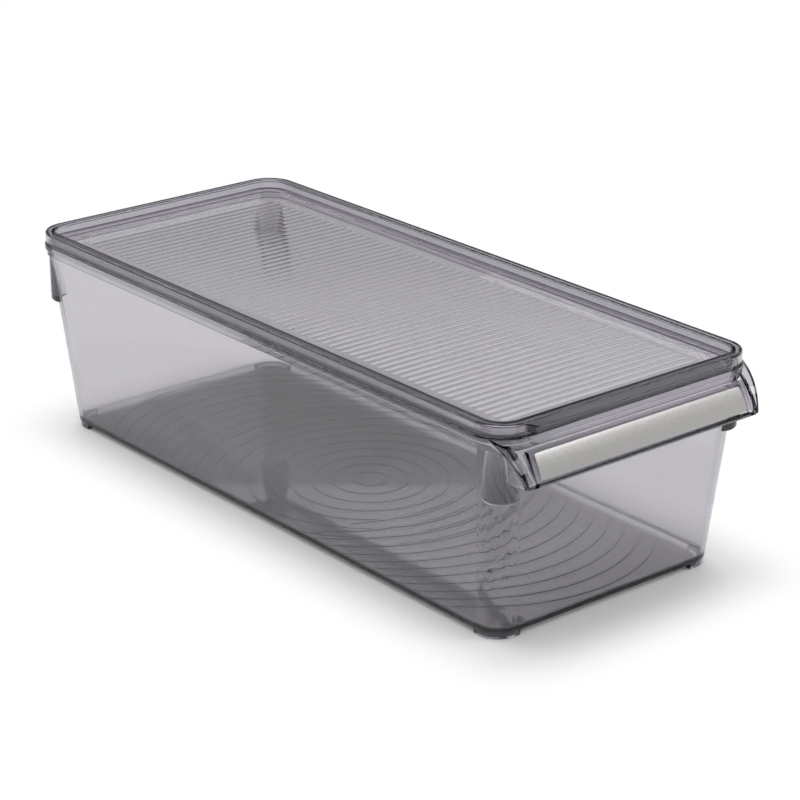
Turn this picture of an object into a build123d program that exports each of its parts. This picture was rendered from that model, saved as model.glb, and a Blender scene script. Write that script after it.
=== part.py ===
from build123d import *
import math
import os

os.makedirs("parts", exist_ok=True)

# Fridge storage container: a clear tinted bin with a pull handle, its lift-off lid,
# and the metal strip taped to the handle. Millimetres.
# X runs across the bin, -Y is the handle end, +Z is up. The origin is on the surface that
# the feet stand on, in the middle of the space that the whole container takes.

# Bin, outside
rim_length = 361.2
rim_width = 153.6
rim_corner = 15.6
rim_height = 99.4
rim_depth = 3.6
rim_overhang = 1.6
rim_edge_round = 1.0
mouth_edge_round = 0.5
root_depth = 2.7
root_step = 0.6
base_end_inset = 11.95
base_side_inset = 9.7
base_corner = 12.0
base_edge_round = 0.8

# Bin, walls and floor
wall = 1.5
floor_thickness = 2.0
floor_round = 1.6

# Feet: a short curved rail under each corner
foot_height = 2.6
foot_inset = 0.7
foot_width = 3.0
foot_arm = 15.0

# Curved ribs moulded on the floor inside
floor_rib_pitch = 10.2
floor_rib_first = 8.6
floor_rib_width = 1.2
floor_rib_height = 0.4
floor_rib_largest = 84.0
floor_rib_margin = 1.6

# Solid corner posts that stiffen the bin under its rim
post_radius = 8.4
post_setback = 11.7
post_drop = 31.8
post_edge_round = 1.8

# Handle: two horns that sweep down from the rim's corners, and a bar between them
handle_reach = 10.0
handle_drop = 20.2
horn_thickness = 2.4
horn_root_thickness = 2.9
horn_middle_step = 1.8
horn_tip_round = 0.9
horn_edge_round = 0.5
horn_start = 8.2
horn_start_drop = 0.7
horn_bulge_forward = 2.6
horn_bulge_drop = 8.2
horn_outer_inset = 8.7
horn_outer_slope = 0.382
horn_inner_inset = 11.7
horn_inner_slope = 0.192
bar_gap = 2.7
bar_top_forward = 0.2
bar_bottom_setback = 0.6
bar_thickness = 2.6
pad_beside_strip = 2.0
pad_above_strip = 0.8
pad_below_strip = 0.4
lip_height = 1.9
lip_top_setback = 0.3
lip_bottom_setback = 0.5
web_thickness = 1.6
web_inset = 8.2
web_slope = 0.09
web_drop = 1.0

# Metal strip and its tape
strip_inset = 15.8
strip_height = 11.8
strip_thickness = 0.7
strip_corner = 1.5
strip_crown = 0.35
strip_edge_round = 0.15
strip_lean = 25.7
strip_setback = 0.7
strip_rise = 2.8
tape_thickness = 0.25
tape_margin = 1.6

# Lid
lid_inset = 0.6
lid_seat_gap = 0.3
lid_rise = 5.75
lid_edge_round = 0.9
lid_wall = 1.6
lid_inner_wall = 2.1
lid_clearance = 0.4
panel_drop = 6.3
panel_thickness = 1.4
panel_draft = 0.8
panel_round = 1.0
panel_edge_round = 0.8
land_edge_round = 0.6

# Ribs across the lid's panel
lid_rib_pitch = 5.16
lid_rib_width = 4.6
lid_rib_height = 0.09
lid_rib_end_margin = 14.0
lid_rib_front_margin = 16.2
lid_rib_back_margin = 18.0

# Finger lip along the lid's front edge
finger_reach = 3.4
finger_inset = 20.7
finger_blend = 8.0
finger_root = 0.3
finger_top_drop = 1.85
finger_thickness = 2.8
finger_crease = 1.7
finger_edge_round = 0.5

# Places worked out from the sizes above
bin_y = handle_reach / 2
rim_front = bin_y - rim_length / 2
rim_half = rim_width / 2
rim_bottom = rim_height - rim_depth
wall_top_width = rim_width - 2 * rim_overhang
wall_top_length = rim_length - 2 * rim_overhang
wall_top_corner = rim_corner - rim_overhang
mouth_width = wall_top_width - 2 * wall
mouth_length = wall_top_length - 2 * wall
mouth_corner = wall_top_corner - wall
base_width = rim_width - 2 * base_side_inset
base_length = rim_length - 2 * base_end_inset
floor_bottom = foot_height
floor_top = floor_bottom + floor_thickness
lid_bottom = rim_height + lid_seat_gap
lid_top = rim_height + lid_rise
panel_top = lid_top - panel_drop
panel_bottom = panel_top - panel_thickness


def level(height):
    """The level plane at a height, centred on the bin."""
    return Plane.XY.offset(height).move(Location((0, bin_y, 0)))


def side_point(forward, drop):
    """A point of a side view: how far it is in front of the rim, and how far below its top."""
    return (rim_front - forward, rim_height - drop)


# Bin: rim, walls, floor, posts, feet and handle are one moulding.
wall_lean = (wall_top_width - base_width) / 2 / (rim_height - floor_bottom)
cavity_grow = wall_lean * floor_thickness
post_x = rim_half - post_setback
post_y = rim_length / 2 - post_setback
post_bottom = rim_height - post_drop
post_places = [(x, bin_y + y) for x in (-post_x, post_x) for y in (-post_y, post_y)]

with BuildPart() as bin_shell:
    # the rim's band, rounded on its outer edges
    with BuildSketch(level(rim_bottom)):
        RectangleRounded(rim_width, rim_length, rim_corner)
    extrude(amount=rim_depth)
    fillet(bin_shell.faces().sort_by(Axis.Z)[-1].edges(), rim_edge_round)
    fillet(bin_shell.faces().sort_by(Axis.Z)[0].edges(), rim_edge_round)
    # the thicker root of the wall below the band
    with BuildSketch(level(rim_bottom - root_depth)):
        RectangleRounded(wall_top_width + 2 * root_step, wall_top_length + 2 * root_step,
                         wall_top_corner + root_step)
    extrude(amount=root_depth + rim_edge_round)
    # the walls lean in towards the base
    with BuildSketch(level(floor_bottom)):
        RectangleRounded(base_width, base_length, base_corner)
    with BuildSketch(level(rim_height)):
        RectangleRounded(wall_top_width, wall_top_length, wall_top_corner)
    loft()
    fillet(bin_shell.faces().sort_by(Axis.Z)[0].edges(), base_edge_round)

# The posts stand upright, so they leave the leaning walls as they go down
with BuildPart() as posts:
    with BuildSketch(Plane.XY.offset(post_bottom)):
        with Locations(*post_places):
            Circle(post_radius)
    extrude(amount=rim_bottom - post_bottom + rim_edge_round)
    fillet(posts.faces().group_by(Axis.Z)[0].edges(), post_edge_round)

# The inside of the bin, as the solid that is taken out of it
with BuildPart() as cavity:
    with BuildSketch(level(floor_top)):
        RectangleRounded(base_width - 2 * wall + 2 * cavity_grow,
                         base_length - 2 * wall + 2 * cavity_grow, base_corner - wall)
    with BuildSketch(level(rim_height)):
        RectangleRounded(mouth_width, mouth_length, mouth_corner)
    loft()
    fillet(cavity.faces().sort_by(Axis.Z)[0].edges(), floor_round)

# Handle, in side views that run along X
horn_front = [side_point(-horn_start, horn_start_drop),
              side_point(horn_bulge_forward, horn_bulge_drop),
              side_point(handle_reach, handle_drop)]
horn_back = [side_point(-horn_start, horn_start_drop + horn_root_thickness),
             side_point(horn_bulge_forward - horn_middle_step, horn_bulge_drop + horn_middle_step),
             side_point(handle_reach - horn_thickness, handle_drop)]
horn_height = handle_drop - horn_start_drop
horn_outer_bottom = rim_half - horn_outer_inset
horn_inner_bottom = rim_half - horn_inner_inset

with BuildPart() as horns:
    with BuildSketch(Plane.YZ):
        with BuildLine():
            ThreePointArc(*horn_front)
            Line(horn_front[2], horn_back[2])
            ThreePointArc(horn_back[2], horn_back[1], horn_back[0])
            Line(horn_back[0], horn_front[0])
        make_face()
    extrude(amount=rim_half, both=True)
    # seen from the front, each horn narrows downwards
    with BuildSketch(Plane.XZ):
        for side in (-1, 1):
            with BuildLine():
                Polyline(
                    (side * horn_inner_bottom, rim_height - handle_drop),
                    (side * horn_outer_bottom, rim_height - handle_drop),
                    (side * (horn_outer_bottom + horn_outer_slope * horn_height),
                     rim_height - horn_start_drop),
                    (side * (horn_inner_bottom + horn_inner_slope * horn_height),
                     rim_height - horn_start_drop),
                    close=True)
            make_face()
    extrude(amount=rim_length, both=True, mode=Mode.INTERSECT)
    fillet(horns.edges().filter_by(Axis.X).group_by(Axis.Z)[0], horn_tip_round)
    fillet(horns.edges().filter_by(GeomType.ELLIPSE), horn_edge_round)

# Thin webs brace the horns against the front posts
web_bottom_height = rim_height - handle_drop - web_drop
web_bottom = rim_half - web_inset
web_top = web_bottom + web_slope * (horn_height + web_drop)

with BuildPart() as webs:
    with BuildSketch(Plane.YZ):
        with BuildLine():
            Line(side_point(-post_setback, rim_depth / 2), horn_back[0])
            ThreePointArc(*horn_back)
            Line(horn_back[2], side_point(-post_setback, handle_drop + web_drop))
            Line(side_point(-post_setback, handle_drop + web_drop),
                 side_point(-post_setback, rim_depth / 2))
        make_face()
    extrude(amount=rim_half, both=True)
    with BuildSketch(Plane.XZ):
        for side in (-1, 1):
            with BuildLine():
                Polyline(
                    (side * (web_bottom - web_thickness), web_bottom_height),
                    (side * web_bottom, web_bottom_height),
                    (side * web_top, rim_height - horn_start_drop),
                    (side * (web_top - web_thickness), rim_height - horn_start_drop),
                    close=True)
            make_face()
    extrude(amount=rim_length, both=True, mode=Mode.INTERSECT)

# The strip lies on a plane that leans back; the pad under it is that plane moved in
lean = math.radians(strip_lean)
strip_length = rim_width - 2 * strip_inset
strip_middle_forward = handle_reach - strip_setback - strip_height / 2 * math.sin(lean)
strip_middle_drop = handle_drop - strip_rise - strip_height / 2 * math.cos(lean)
seat_depth = strip_thickness + tape_thickness


def on_lean(along, depth):
    """A side-view point on the strip's leaning plane: a distance up it, and a depth behind it."""
    forward = strip_middle_forward - along * math.sin(lean) - depth * math.cos(lean)
    drop = strip_middle_drop - along * math.cos(lean) + depth * math.sin(lean)
    return (forward, drop)


def lean_plane(depth):
    """The strip's leaning plane at a depth behind its front face, facing forward."""
    y, z = side_point(*on_lean(0, depth))
    return Plane(origin=(0, y, z), x_dir=(1, 0, 0),
                 z_dir=(0, -math.cos(lean), math.sin(lean)))


bar_top_drop = rim_depth + bar_gap
bar_bottom_forward = handle_reach - bar_bottom_setback
bar_run = math.hypot(bar_bottom_forward - bar_top_forward, handle_drop - bar_top_drop)
bar_back_forward = bar_thickness * (handle_drop - bar_top_drop) / bar_run
bar_back_drop = bar_thickness * (bar_bottom_forward - bar_top_forward) / bar_run
bar_slope = (bar_bottom_forward - bar_top_forward) / (handle_drop - bar_top_drop)
bar_top_back = (bar_top_forward - bar_back_forward, bar_top_drop + bar_back_drop)
bar_bottom_back = (bar_top_back[0] + bar_slope * (handle_drop - bar_top_back[1]), handle_drop)
pad_top = on_lean(strip_height / 2 + pad_above_strip, seat_depth)
pad_bottom = on_lean(-strip_height / 2 - pad_below_strip, seat_depth)
lip_front = [side_point(handle_reach - lip_top_setback, handle_drop - lip_height),
             side_point(handle_reach, handle_drop - lip_height / 2),
             side_point(handle_reach - lip_bottom_setback, handle_drop)]

with BuildPart() as bar:
    with BuildSketch(Plane.YZ):
        with BuildLine():
            Polyline(side_point(bar_top_forward, bar_top_drop),
                     side_point(bar_bottom_forward, handle_drop),
                     side_point(*bar_bottom_back),
                     side_point(*bar_top_back), close=True)
        make_face()
    extrude(amount=horn_outer_bottom - horn_thickness / 2, both=True)
    # the pad that the strip is taped to, with the plastic lip below it
    with BuildSketch(Plane.YZ):
        with BuildLine():
            Polyline(side_point(*bar_top_back),
                     side_point(bar_top_forward, pad_top[1]),
                     side_point(*pad_top),
                     side_point(*pad_bottom), lip_front[0])
            ThreePointArc(*lip_front)
            Polyline(lip_front[2], side_point(*bar_bottom_back), side_point(*bar_top_back))
        make_face()
    extrude(amount=strip_length / 2 + pad_beside_strip, both=True)

floor_rib_zone_width = base_width - 2 * wall - 2 * floor_rib_margin
floor_rib_zone_length = base_length - 2 * wall - 2 * floor_rib_margin
floor_rib_count = int((floor_rib_zone_length / 2 - floor_rib_first) / floor_rib_pitch) + 1
floor_rib_reaches = [floor_rib_first + floor_rib_pitch * i for i in range(floor_rib_count)]

with BuildPart() as bin_body:
    add(bin_shell.part)
    add(posts.part)
    add(horns.part)
    add(webs.part)
    add(bar.part)
    add(cavity.part, mode=Mode.SUBTRACT)
    fillet(bin_body.faces().sort_by(Axis.Z)[-1].inner_wires().edges(), mouth_edge_round)
    # feet: corner pieces of a rail that runs just inside the base's outline
    with BuildSketch(level(0)):
        RectangleRounded(base_width - 2 * foot_inset, base_length - 2 * foot_inset,
                         base_corner - foot_inset)
        RectangleRounded(base_width - 2 * foot_inset - 2 * foot_width,
                         base_length - 2 * foot_inset - 2 * foot_width,
                         base_corner - foot_inset - foot_width, mode=Mode.SUBTRACT)
        Rectangle(base_width - 2 * foot_arm, base_length, mode=Mode.SUBTRACT)
        Rectangle(base_width, base_length - 2 * foot_arm, mode=Mode.SUBTRACT)
    extrude(amount=foot_height + floor_thickness / 2)
    # ribs on the floor: rings round its middle; once they have grown as wide as the floor they
    # keep that radius and step on towards both ends
    for reach in floor_rib_reaches:
        radius = min(reach, floor_rib_largest)
        shift = reach - radius
        with BuildSketch(level(floor_top - floor_rib_height)):
            for side in ((-1, 1) if shift else (1,)):
                with Locations((0, side * shift)):
                    Circle(radius + floor_rib_width / 2)
                    Circle(radius - floor_rib_width / 2, mode=Mode.SUBTRACT)
            if shift:
                Rectangle(floor_rib_zone_width, 2 * shift, mode=Mode.SUBTRACT)
            Rectangle(floor_rib_zone_width, floor_rib_zone_length, mode=Mode.INTERSECT)
        extrude(amount=2 * floor_rib_height)

bin_body.part.label = "bin_body"
export_step(bin_body.part, "parts/bin_body.step")

# Strip: one flat pressed piece of sheet metal with rounded corners
strip_front = Axis((0, 0, 0), (0, -math.cos(lean), math.sin(lean)))

with BuildPart() as handle_strip:
    with BuildSketch(lean_plane(strip_thickness)):
        RectangleRounded(strip_length, strip_height, strip_corner)
    extrude(amount=strip_thickness)
    # its face is crowned: it falls back towards its long edges
    with BuildSketch(Plane.YZ):
        with BuildLine():
            ThreePointArc(side_point(*on_lean(strip_height / 2, strip_crown)),
                          side_point(*on_lean(0, 0)),
                          side_point(*on_lean(-strip_height / 2, strip_crown)))
            Polyline(side_point(*on_lean(-strip_height / 2, strip_crown)),
                     side_point(*on_lean(-strip_height / 2, seat_depth)),
                     side_point(*on_lean(strip_height / 2, seat_depth)),
                     side_point(*on_lean(strip_height / 2, strip_crown)))
        make_face()
    extrude(amount=strip_length, both=True, mode=Mode.INTERSECT)
    fillet(handle_strip.faces().sort_by(strip_front)[-1].edges(), strip_edge_round)

handle_strip.part.label = "handle_strip"
export_step(handle_strip.part, "parts/handle_strip.step")

# Tape: the double-sided film that holds the strip to the pad
with BuildPart() as strip_tape:
    with BuildSketch(lean_plane(seat_depth)):
        Rectangle(strip_length - 2 * tape_margin, strip_height - 2 * tape_margin)
    extrude(amount=tape_thickness)

strip_tape.part.label = "strip_tape"
export_step(strip_tape.part, "parts/strip_tape.step")

# Lid: a ribbed panel sunk into the bin's mouth, with a hollow raised border that rests on the rim
plug_width = mouth_width - 2 * lid_clearance
plug_length = mouth_length - 2 * lid_clearance
plug_corner = mouth_corner - lid_clearance
recess_width = plug_width - 2 * lid_inner_wall
recess_length = plug_length - 2 * lid_inner_wall
recess_corner = plug_corner - lid_inner_wall
lid_width = rim_width - 2 * lid_inset
lid_length = rim_length - 2 * lid_inset
lid_corner = rim_corner - lid_inset
lid_front = bin_y - lid_length / 2
finger_half = lid_width / 2 - finger_inset
finger_end = finger_half + finger_blend
finger_middle = finger_half + finger_blend / 2
finger_root_y = lid_front + finger_root
finger_tip_y = lid_front - finger_reach

# The finger lip stands out from the lid's front edge and sweeps back into it at both ends
with BuildPart() as finger_lip:
    with BuildSketch(Plane.XY.offset(lid_top - finger_top_drop - finger_thickness)):
        with BuildLine():
            Bezier((finger_end, finger_root_y), (finger_middle, finger_root_y),
                   (finger_middle, finger_tip_y), (finger_half, finger_tip_y))
            Line((finger_half, finger_tip_y), (-finger_half, finger_tip_y))
            Bezier((-finger_half, finger_tip_y), (-finger_middle, finger_tip_y),
                   (-finger_middle, finger_root_y), (-finger_end, finger_root_y))
            Line((-finger_end, finger_root_y), (finger_end, finger_root_y))
        make_face()
    extrude(amount=finger_thickness + finger_top_drop)
    # its top slopes down to the front
    with BuildSketch(Plane.YZ):
        with BuildLine():
            Polyline((lid_front + finger_crease, lid_top),
                     (finger_tip_y, lid_top - finger_top_drop),
                     (finger_tip_y - finger_reach, lid_top - finger_top_drop),
                     (finger_tip_y - finger_reach, lid_top + finger_top_drop),
                     (lid_front + finger_crease, lid_top + finger_top_drop), close=True)
        make_face()
    extrude(amount=finger_end, both=True, mode=Mode.SUBTRACT)
    fillet(finger_lip.faces().sort_by(Axis.Y)[0].edges().filter_by(Axis.X), finger_edge_round)

# The lid's inner wall and panel are one tray that narrows downwards and hangs in the mouth
with BuildPart() as tray:
    with BuildSketch(level(panel_bottom)):
        RectangleRounded(plug_width - 2 * panel_draft, plug_length - 2 * panel_draft,
                         plug_corner - panel_draft)
    with BuildSketch(level(lid_top - lid_wall / 2)):
        RectangleRounded(plug_width, plug_length, plug_corner)
    loft()
    fillet(tray.faces().sort_by(Axis.Z)[0].edges(), panel_edge_round)

with BuildPart() as lid_solid:
    with BuildSketch(level(lid_bottom)):
        RectangleRounded(lid_width, lid_length, lid_corner)
    extrude(amount=lid_top - lid_bottom)
    fillet(lid_solid.faces().sort_by(Axis.Z)[-1].edges(), lid_edge_round)
    # the border is hollow: a channel open downwards between its skirt and its inner wall
    with BuildSketch(level(lid_bottom)):
        RectangleRounded(lid_width - 2 * lid_wall, lid_length - 2 * lid_wall, lid_corner - lid_wall)
    extrude(amount=lid_top - lid_wall - lid_bottom, mode=Mode.SUBTRACT)
    add(tray.part)
    add(finger_lip.part)

# The recess that the border stands round, as the solid that is taken out of the lid
with BuildPart() as recess:
    with BuildSketch(level(panel_top)):
        RectangleRounded(recess_width - 2 * panel_draft, recess_length - 2 * panel_draft,
                         recess_corner - panel_draft)
    with BuildSketch(level(lid_top)):
        RectangleRounded(recess_width, recess_length, recess_corner)
    loft()
    fillet(recess.faces().sort_by(Axis.Z)[0].edges(), panel_round)

rib_half = recess_width / 2 - lid_rib_end_margin
rib_first_y = bin_y - recess_length / 2 + lid_rib_front_margin
rib_last_y = bin_y + recess_length / 2 - lid_rib_back_margin
rib_count = int((rib_last_y - rib_first_y) / lid_rib_pitch) + 1
rib_places = [rib_first_y + lid_rib_pitch * i for i in range(rib_count)]

with BuildPart() as lid:
    add(lid_solid.part)
    add(recess.part, mode=Mode.SUBTRACT)
    fillet(lid.faces().sort_by(Axis.Z)[-1].inner_wires().edges(), land_edge_round)
    # straight ribs across the panel, each an arched ridge
    with BuildSketch(Plane.YZ):
        for y in rib_places:
            with BuildLine():
                ThreePointArc((y - lid_rib_width / 2, panel_top), (y, panel_top + lid_rib_height),
                              (y + lid_rib_width / 2, panel_top))
                Polyline((y + lid_rib_width / 2, panel_top),
                         (y + lid_rib_width / 2, panel_top - lid_rib_height),
                         (y - lid_rib_width / 2, panel_top - lid_rib_height),
                         (y - lid_rib_width / 2, panel_top))
            make_face()
    extrude(amount=rib_half, both=True)

lid.part.label = "lid"
export_step(lid.part, "parts/lid.step")

for name, piece in (("bin_body", bin_body), ("lid", lid), ("handle_strip", handle_strip),
                    ("strip_tape", strip_tape)):
    box = piece.part.bounding_box()
    print(name, "solids", len(piece.part.solids()), "volume", round(piece.part.volume),
          "from", [round(v, 2) for v in box.min], "to", [round(v, 2) for v in box.max])
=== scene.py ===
import math
import bpy
from mathutils import Matrix, Vector

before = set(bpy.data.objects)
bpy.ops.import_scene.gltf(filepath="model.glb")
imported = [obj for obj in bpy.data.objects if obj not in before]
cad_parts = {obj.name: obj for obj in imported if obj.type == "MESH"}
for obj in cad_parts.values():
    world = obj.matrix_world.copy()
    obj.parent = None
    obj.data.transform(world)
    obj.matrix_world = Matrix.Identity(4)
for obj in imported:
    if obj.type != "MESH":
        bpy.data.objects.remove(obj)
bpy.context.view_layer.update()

# Bin: the open tray with its rim, corner posts, floor rings, feet and loop handle, all in one piece.
# The real one is a single injection moulding in clear, smoke-tinted SAN, a styrene plastic, from a
# polished steel mould. The rings, posts and handle are moulded with it, so nothing is fixed on.
smoke_tint = "#7F718E"
smoke_depth = 230.0
san_ior = 1.57
flow_wave_mm = 36.0
haze_patch_mm = 6.0


def linear(code):
    """A written sRGB colour, such as "#8A8F96", as the linear colour that a node takes."""
    parts = [int(code[i:i + 2], 16) / 255 for i in (1, 3, 5)]
    return tuple(p / 12.92 if p <= 0.04045 else ((p + 0.055) / 1.055) ** 2.4 for p in parts) + (1.0,)


def add_node(tree, kind, links=None, values=None, **settings):
    """Adds a node: its settings by name, its sockets' values, and the sockets that feed it."""
    node = tree.nodes.new(kind)
    for key, value in settings.items():
        setattr(node, key, value)
    for key, value in (values or {}).items():
        node.inputs[key].default_value = value
    for key, source in (links or {}).items():
        tree.links.new(source, node.inputs[key])
    return node


# SAN, moulded and polished: glassy and colourless at the skin, with a violet-grey smoke inside, so a
# thin wall looks pale and a rim or post looks dark. The melt's flow leaves a faint long wave in the
# skin, about 36 mm from crest to crest. The haze of handling is far finer than its 6 mm patches here,
# which are drawn that coarse to show in the gloss at all.
san = bpy.data.materials.new("smoke_tinted_san_polished")
san.use_nodes = True
tree = san.node_tree
tree.nodes.clear()
place = add_node(tree, "ShaderNodeTexCoord")
flow = add_node(tree, "ShaderNodeTexNoise", {"Vector": place.outputs["Object"]},
                {"Scale": 1000 / flow_wave_mm, "Detail": 1.0, "Roughness": 0.4})
haze = add_node(tree, "ShaderNodeTexNoise", {"Vector": place.outputs["Object"]},
                {"Scale": 1000 / haze_patch_mm, "Detail": 2.0, "Roughness": 0.6})
gloss = add_node(tree, "ShaderNodeMapRange", {"Value": haze.outputs["Fac"]},
                 {"From Min": 0.3, "From Max": 0.7, "To Min": 0.004, "To Max": 0.02})
wave = add_node(tree, "ShaderNodeBump", {"Height": flow.outputs["Fac"]},
                {"Strength": 0.1, "Distance": 0.0002})
skin = add_node(tree, "ShaderNodeBsdfPrincipled",
                {"Roughness": gloss.outputs["Result"], "Normal": wave.outputs["Normal"]},
                {"Base Color": (1.0, 1.0, 1.0, 1.0), "IOR": san_ior, "Transmission Weight": 1.0})
smoke = add_node(tree, "ShaderNodeVolumeAbsorption",
                 values={"Color": linear(smoke_tint), "Density": smoke_depth})
add_node(tree, "ShaderNodeOutputMaterial",
         {"Surface": skin.outputs["BSDF"], "Volume": smoke.outputs["Volume"]})
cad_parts["bin_body"].material_slots[0].material = san

# Lid: a shallow tray with a hollow raised border, a ribbed panel and a finger lip at the front.
# It is a second injection moulding in the same smoke-tinted SAN, from a mould polished the same way.
# It lies loose on the bin's rim and lifts straight off.
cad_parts["lid"].material_slots[0].material = san

# Tape: the film that holds the metal strip to the handle's bar, seen only from behind through the bar.
# It is a clear acrylic double-sided tape, cut a little smaller than the strip and pressed on by hand.
film_tone = "#D9D8D2"
film_bubble_mm = 2.5

# Acrylic adhesive film, coated and pressed down: milky pale grey, half matt, slightly cloudy where
# small bubbles stay under it. They are about 2.5 mm across.
film = bpy.data.materials.new("acrylic_film_pressed_on")
film.use_nodes = True
tree = film.node_tree
tree.nodes.clear()
place = add_node(tree, "ShaderNodeTexCoord")
bubbles = add_node(tree, "ShaderNodeTexVoronoi", {"Vector": place.outputs["Object"]},
                   {"Scale": 1000 / film_bubble_mm})
cloud = add_node(tree, "ShaderNodeMapRange", {"Value": bubbles.outputs["Distance"]},
                 {"From Min": 0.1, "From Max": 0.5, "To Min": 0.42, "To Max": 0.58})
swell = add_node(tree, "ShaderNodeBump", {"Height": bubbles.outputs["Distance"]},
                 {"Strength": 0.3, "Distance": 0.0001})
skin = add_node(tree, "ShaderNodeBsdfPrincipled",
                {"Roughness": cloud.outputs["Result"], "Normal": swell.outputs["Normal"]},
                {"Base Color": linear(film_tone)})
add_node(tree, "ShaderNodeOutputMaterial", {"Surface": skin.outputs["BSDF"]})
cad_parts["strip_tape"].material_slots[0].material = film

# Strip: the bright trim on the handle's bar, and the only metal on the object.
# It is thin stainless steel sheet, blanked and pressed with a slight crown and rounded corners, then
# given a satin finish. The tape holds it in a shallow bed in the bar.
steel_tone = "#DEDCDA"
steel_grain_mm = 0.5

# Stainless steel, satin finished: a soft, slightly warm grey that spreads the light into one wide
# glow, lighter at the upper edge where the crown turns up. The grit leaves a speckle well under
# 0.1 mm, drawn here at about 0.5 mm, the finest that shows.
steel = bpy.data.materials.new("stainless_steel_satin")
steel.use_nodes = True
tree = steel.node_tree
tree.nodes.clear()
place = add_node(tree, "ShaderNodeTexCoord")
grain = add_node(tree, "ShaderNodeTexNoise", {"Vector": place.outputs["Object"]},
                 {"Scale": 1000 / steel_grain_mm, "Detail": 3.0, "Roughness": 0.7})
gloss = add_node(tree, "ShaderNodeMapRange", {"Value": grain.outputs["Fac"]},
                 {"From Min": 0.3, "From Max": 0.7, "To Min": 0.25, "To Max": 0.37})
speckle = add_node(tree, "ShaderNodeBump", {"Height": grain.outputs["Fac"]},
                   {"Strength": 0.15, "Distance": 0.00002})
skin = add_node(tree, "ShaderNodeBsdfPrincipled",
                {"Roughness": gloss.outputs["Result"], "Normal": speckle.outputs["Normal"]},
                {"Base Color": linear(steel_tone), "Metallic": 1.0})
add_node(tree, "ShaderNodeOutputMaterial", {"Surface": skin.outputs["BSDF"]})
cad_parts["handle_strip"].material_slots[0].material = steel

# Floor: the white sheet under the object, a stage and not a part of it.
# It is matt white paper, laid flat just under the feet. Near the bin it takes the shadow, and
# further out it runs into the white background.
floor_half = 0.8
floor_level = -0.0002
paper_tone = "#FBFBFB"

# Half the width and length of the bin's base, with a height that no point of the floor reaches, and
# how far from the base the paper has turned into plain white.
stand_half = (0.062, 0.172, 1.0)
shadow_reach = 0.045

floor_mesh = bpy.data.meshes.new("floor")
floor_mesh.from_pydata([(x * floor_half, y * floor_half, floor_level)
                        for x, y in ((-1, -1), (1, -1), (1, 1), (-1, 1))], [], [(0, 1, 2, 3)])
floor = bpy.data.objects.new("floor", floor_mesh)
bpy.context.scene.collection.objects.link(floor)
paper = bpy.data.materials.new("white_paper_matt")
paper.use_nodes = True
tree = paper.node_tree
tree.nodes.clear()
place = add_node(tree, "ShaderNodeTexCoord")
quarter = add_node(tree, "ShaderNodeVectorMath", {0: place.outputs["Object"]}, operation="ABSOLUTE")
past = add_node(tree, "ShaderNodeVectorMath", {0: quarter.outputs["Vector"]}, {1: stand_half},
                operation="SUBTRACT")
beside = add_node(tree, "ShaderNodeVectorMath", {0: past.outputs["Vector"]}, {1: (0.0, 0.0, 0.0)},
                  operation="MAXIMUM")
away = add_node(tree, "ShaderNodeVectorMath", {0: beside.outputs["Vector"]}, operation="LENGTH")
blend = add_node(tree, "ShaderNodeMapRange", {"Value": away.outputs["Value"]},
                 {"From Min": 0.0, "From Max": shadow_reach}, interpolation_type="SMOOTHSTEP")
matt = add_node(tree, "ShaderNodeBsdfDiffuse", values={"Color": linear(paper_tone)})
white = add_node(tree, "ShaderNodeEmission", values={"Color": (1.0, 1.0, 1.0, 1.0)})
both = add_node(tree, "ShaderNodeMixShader", {0: blend.outputs["Result"], 1: matt.outputs["BSDF"],
                                              2: white.outputs["Emission"]})
add_node(tree, "ShaderNodeOutputMaterial", {"Surface": both.outputs["Shader"]})
floor_mesh.materials.append(paper)

# Surround: the studio that the plastic and the metal mirror. A low white backdrop stands behind the
# object, with dark wall above it and pale ceiling over that. The room is dark on the camera's side,
# which gives the clear rims their dark outlines. The view itself sees plain white.

# The brightness of the dark side, and the even light that falls on matt faces.
dark_room = 0.03
even_light = 0.78

# The way to the backdrop, and the cosines of the angle off it where the room is at its darkest and
# where it is fully lit.
backdrop_side = (0.63, 0.78, 0.0)
dark_turn = -0.3
lit_turn = 0.35

# Each pair is a height, as the sine of its angle above the floor, and the brightness there.
backdrop_bands = ((0.08, 1.0), (0.18, 0.10), (0.37, 0.10), (0.41, 0.55), (0.72, 0.55), (0.85, 0.15))

surround = bpy.data.worlds.new("white_surround")
surround.use_nodes = True
bpy.context.scene.world = surround
tree = surround.node_tree
tree.nodes.clear()
ray = add_node(tree, "ShaderNodeLightPath")
toward = add_node(tree, "ShaderNodeTexCoord")
height = add_node(tree, "ShaderNodeSeparateXYZ", {"Vector": toward.outputs["Generated"]})
bands = add_node(tree, "ShaderNodeValToRGB", {"Fac": height.outputs["Z"]})
for sine, bright in backdrop_bands:
    bands.color_ramp.elements.new(sine).color = (bright, bright, bright, 1.0)
bands.color_ramp.elements.remove(bands.color_ramp.elements[-1])
bands.color_ramp.elements.remove(bands.color_ramp.elements[0])
side = add_node(tree, "ShaderNodeVectorMath", {0: toward.outputs["Generated"]}, {1: backdrop_side},
                operation="DOT_PRODUCT")
room = add_node(tree, "ShaderNodeMapRange", {"Value": side.outputs["Value"]},
                {"From Min": dark_turn, "From Max": lit_turn, "To Min": dark_room, "To Max": 1.0},
                interpolation_type="SMOOTHSTEP")
mirrored = add_node(tree, "ShaderNodeMath", {0: bands.outputs["Color"], 1: room.outputs["Result"]},
                    operation="MULTIPLY")
level = add_node(tree, "ShaderNodeMix", {"Factor": ray.outputs["Is Diffuse Ray"],
                                         "A": mirrored.outputs["Value"]},
                 {"B": even_light}, data_type="FLOAT")
seen = add_node(tree, "ShaderNodeMix", {"Factor": ray.outputs["Is Camera Ray"],
                                        "A": level.outputs["Result"]},
                {"B": 1.0}, data_type="FLOAT")
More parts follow.
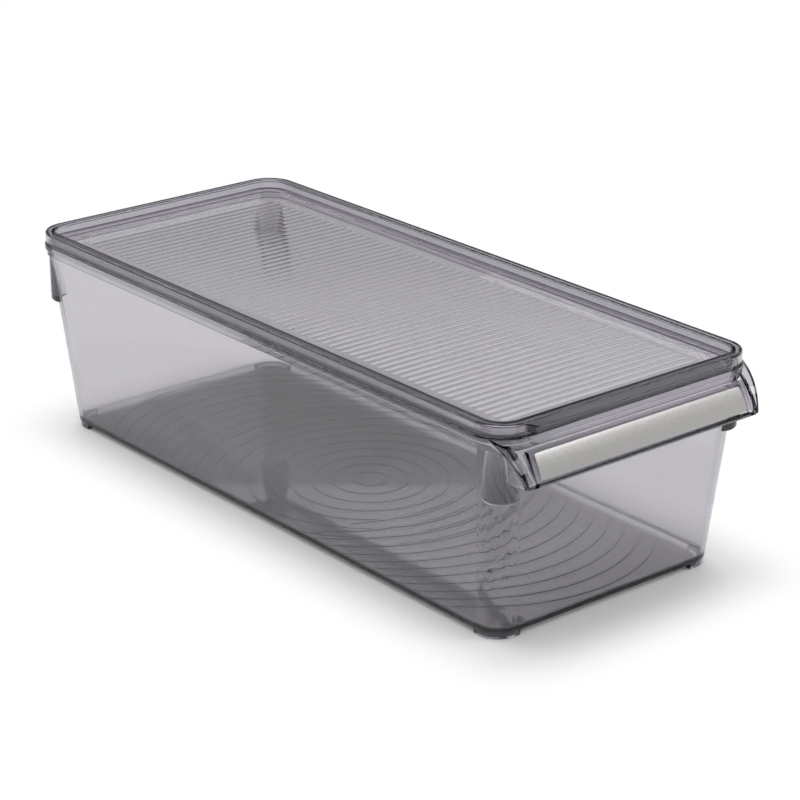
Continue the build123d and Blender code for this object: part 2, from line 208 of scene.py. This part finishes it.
glow = add_node(tree, "ShaderNodeBackground", {"Strength": seen.outputs["Result"]},
                {"Color": (1.0, 1.0, 1.0, 1.0)})
add_node(tree, "ShaderNodeOutputWorld", {"Surface": glow.outputs["Background"]})

# Lamps: four soft boxes and a lit card, all turned to the object. One box is overhead, a wide one far
# behind lights the slopes of the lid's ribs, a narrow one behind at the left draws a light line along
# the long rims, and a box and a low card at the right light the steel strip.

# Each row is a name, a place, a width and a height in metres, and a power in watts.
lamp_rows = (("overhead_box", (0.15, 0.45, 1.6), 1.3, 0.9, 4.0),
             ("rear_box", (4.264, 4.735, 4.837), 6.0, 3.96, 58.0),
             ("left_box", (-0.7, 1.45, 1.2), 1.3, 0.4, 7.0),
             ("strip_box", (0.85, -1.05, 1.0), 0.7, 0.45, 3.2),
             ("low_card", (0.95, -1.2, 0.38), 0.9, 0.55, 0.7))

for name, spot, wide, tall, power in lamp_rows:
    lamp = bpy.data.objects.new(name, bpy.data.lights.new(name, "AREA"))
    lamp.data.shape = "RECTANGLE"
    lamp.data.size = wide
    lamp.data.size_y = tall
    lamp.data.energy = power
    lamp.matrix_world = (Matrix.Translation(spot)
                         @ Vector(spot).to_track_quat("Z", "Y").to_matrix().to_4x4())
    bpy.context.scene.collection.objects.link(lamp)

# Camera: a long lens, above and to the left of the handle end.
# It stands where the photograph was taken, so the two pictures lie on each other.
view_azimuth = math.radians(-39.1085)
view_elevation = math.radians(21.3389)
view_roll = math.radians(-0.2776)
camera_spot = (-0.72427, -0.90798, 0.50098)
lens_mm = 115.79
sensor_mm = 36.0

camera_back = Vector((math.sin(view_azimuth) * math.cos(view_elevation),
                      -math.cos(view_azimuth) * math.cos(view_elevation),
                      math.sin(view_elevation)))
level_right = Vector((math.cos(view_azimuth), math.sin(view_azimuth), 0.0))
level_up = camera_back.cross(level_right)
camera_right = level_right * math.cos(view_roll) + level_up * math.sin(view_roll)
camera_up = level_up * math.cos(view_roll) - level_right * math.sin(view_roll)
camera = bpy.data.objects.new("camera", bpy.data.cameras.new("camera"))
camera.data.sensor_width = sensor_mm
camera.data.lens = lens_mm
camera.data.clip_start = 0.05
camera.data.clip_end = 50.0
camera.matrix_world = Matrix.Translation(camera_spot) @ Matrix(
    (camera_right, camera_up, camera_back)).transposed().to_4x4()
bpy.context.scene.collection.objects.link(camera)
bpy.context.scene.camera = camera

# Render: light passes up to a dozen clear walls on its way through the lid and the bin, and each wall
# takes two bounces.
bpy.context.scene.cycles.max_bounces = 24
bpy.context.scene.cycles.glossy_bounces = 16
bpy.context.scene.cycles.transmission_bounces = 24
bpy.context.scene.view_settings.view_transform = "Standard"
